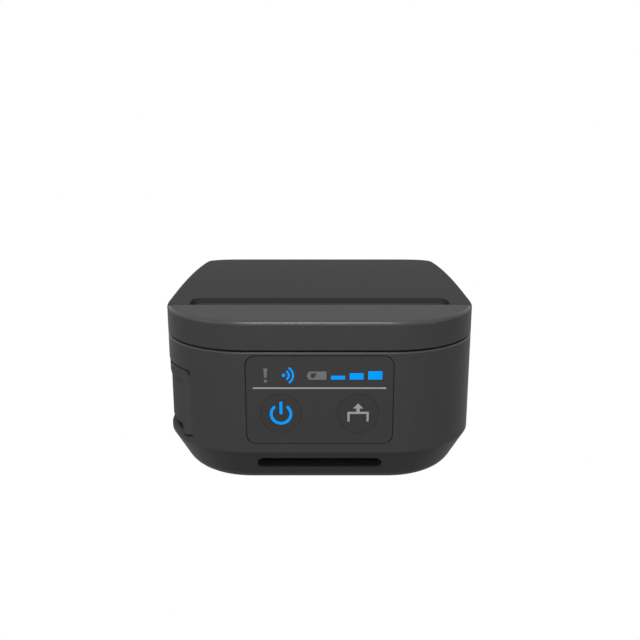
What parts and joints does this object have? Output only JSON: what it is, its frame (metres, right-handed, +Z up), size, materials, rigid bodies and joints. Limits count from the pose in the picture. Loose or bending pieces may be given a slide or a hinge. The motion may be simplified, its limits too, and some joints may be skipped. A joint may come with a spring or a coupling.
{
  "type": "portable receipt printer",
  "caption": "Portable thermal receipt printer with a rounded body, hinged paper cover, front key panel, side opening lever and slide-out battery.",
  "frame": {"origin": "under the middle of the body, level with the bottom of the feet", "axes": "+X to the right, +Y to the rear, +Z up; the key panel faces -Y"},
  "size_m": [0.11, 0.145, 0.0606],
  "materials": {
    "case_plastic": "dark grey moulded plastic with a fine texture",
    "cover_plastic": "dark grey moulded plastic, fine matt grain",
    "panel_plastic": "dark grey plastic with a leather-like grain",
    "key_plastic": "dark grey soft-touch plastic",
    "inner_plastic": "black glass-filled plastic",
    "grey_print": "dim grey translucent window",
    "pale_print": "light grey ink",
    "blue_light": "lit blue window",
    "board": "green circuit board lacquer",
    "chip": "black moulded package",
    "cable": "flat ribbon cable",
    "steel": "bright sheet or turned steel",
    "black_steel": "dark coated steel",
    "aluminium": "plain aluminium",
    "head_glaze": "glazed ceramic print head",
    "brass": "gold plated or plain brass",
    "rubber": "black rubber",
    "platen_rubber": "dark smooth roller rubber",
    "gear_plastic": "natural acetal"
  },
  "bodies": {
    "case": {"lower_case": "case_plastic", "front_bezel": "case_plastic", "tear_bar": "black_steel", "roll_tray": "inner_plastic", "rear_frame": "inner_plastic", "strap_anchor": "case_plastic", "lever_housing": "case_plastic", "hinge_pins": "steel", "control_panel": "panel_plastic", "fault_mark": "grey_print", "battery_mark": "grey_print", "wireless_mark": "blue_light", "level_marks": "blue_light", "panel_rule": "pale_print", "control_board": "board", "key_switches": "steel", "panel_lamps": "pale_print", "board_link": "cable", "lever_pin": "steel", "mechanism_frame": "steel", "head_sink": "aluminium", "thermal_head": "head_glaze", "head_springs": "steel", "head_cable": "cable", "feed_motor": "steel", "main_board": "board", "board_chips": "chip", "capacitors": "chip", "radio_can": "steel", "usb_socket": "steel", "usb_tongue": "chip", "port_board": "board", "terminal_block": "chip", "terminal_blades": "brass", "cover_switch": "chip", "paper_sensor": "chip", "rubber_feet": "rubber", "base_inserts": "brass", "frame_screws": "steel", "board_screws": "steel"},
    "cover": {"cover_shell": "cover_plastic", "cover_liner": "inner_plastic", "platen_bushes": "gear_plastic"},
    "platen": {"platen_shaft": "steel", "platen_rubber": "platen_rubber", "platen_gear": "gear_plastic"},
    "idler": {"idler_gear": "gear_plastic"},
    "rotor": {"motor_shaft": "steel", "motor_pinion": "brass"},
    "power_key": {"power_button": "key_plastic", "power_mark": "blue_light"},
    "feed_key": {"feed_button": "key_plastic", "feed_mark": "pale_print"},
    "lever": {"open_lever": "case_plastic"},
    "latch": {"latch_shaft": "steel"},
    "flap": {"port_flap": "rubber"},
    "battery": {"battery_pack": "case_plastic", "battery_pads": "brass"},
    "catch": {"battery_latch": "key_plastic"}
  },
  "joints": [
    {"name": "cover_open", "type": "hinge", "parent": "case", "child": "cover", "pos_m": [0, 0.0667, 0.0484], "axis": [-1, 0, 0], "range_deg": [0, 90]},
    {"name": "platen_spin", "type": "hinge", "parent": "cover", "child": "platen", "pos_m": [0, -0.0435, 0.047], "axis": [1, 0, 0], "continuous": true},
    {"name": "idler_spin", "type": "hinge", "parent": "case", "child": "idler", "pos_m": [0.0475, -0.0435, 0.0345], "axis": [1, 0, 0], "continuous": true},
    {"name": "pinion_spin", "type": "hinge", "parent": "case", "child": "rotor", "pos_m": [0.0475, -0.05058, 0.02675], "axis": [1, 0, 0], "continuous": true},
    {"name": "power_press", "type": "slide", "parent": "case", "child": "power_key", "axis": [0, 1, 0], "range_m": [0, 0.0006], "stiffness_N_per_m": 300, "springref_m": -0.0004},
    {"name": "feed_press", "type": "slide", "parent": "case", "child": "feed_key", "axis": [0, 1, 0], "range_m": [0, 0.0006], "stiffness_N_per_m": 300, "springref_m": -0.0004},
    {"name": "lever_pull", "type": "hinge", "parent": "case", "child": "lever", "pos_m": [-0.0525, -0.041, 0.0382], "axis": [0, 1, 0], "range_deg": [0, 18], "stiffness_Nm_per_rad": 0.02, "springref_deg": -5.73},
    {"name": "latch_turn", "type": "hinge", "parent": "case", "child": "latch", "pos_m": [0, -0.0592, 0.045], "axis": [1, 0, 0], "range_deg": [0, 9]},
    {"name": "flap_open", "type": "hinge", "parent": "case", "child": "flap", "pos_m": [-0.0332, 0.0718, 0.0354], "axis": [0, 0, 1], "range_deg": [0, 110], "stiffness_Nm_per_rad": 0.0005},
    {"name": "battery_slide", "type": "slide", "parent": "case", "child": "battery", "axis": [0, 1, 0], "range_m": [0, 0.045]},
    {"name": "catch_slide", "type": "slide", "parent": "case", "child": "catch", "axis": [-1, 0, 0], "range_m": [0, 0.003], "stiffness_N_per_m": 100, "springref_m": -0.002}
  ],
  "couplings": [
    {"joint": "idler_spin", "follows": "platen_spin", "ratio": -0.66667},
    {"joint": "pinion_spin", "follows": "platen_spin", "ratio": 1.6667},
    {"joint": "latch_turn", "follows": "lever_pull", "ratio": 0.5}
  ]
}
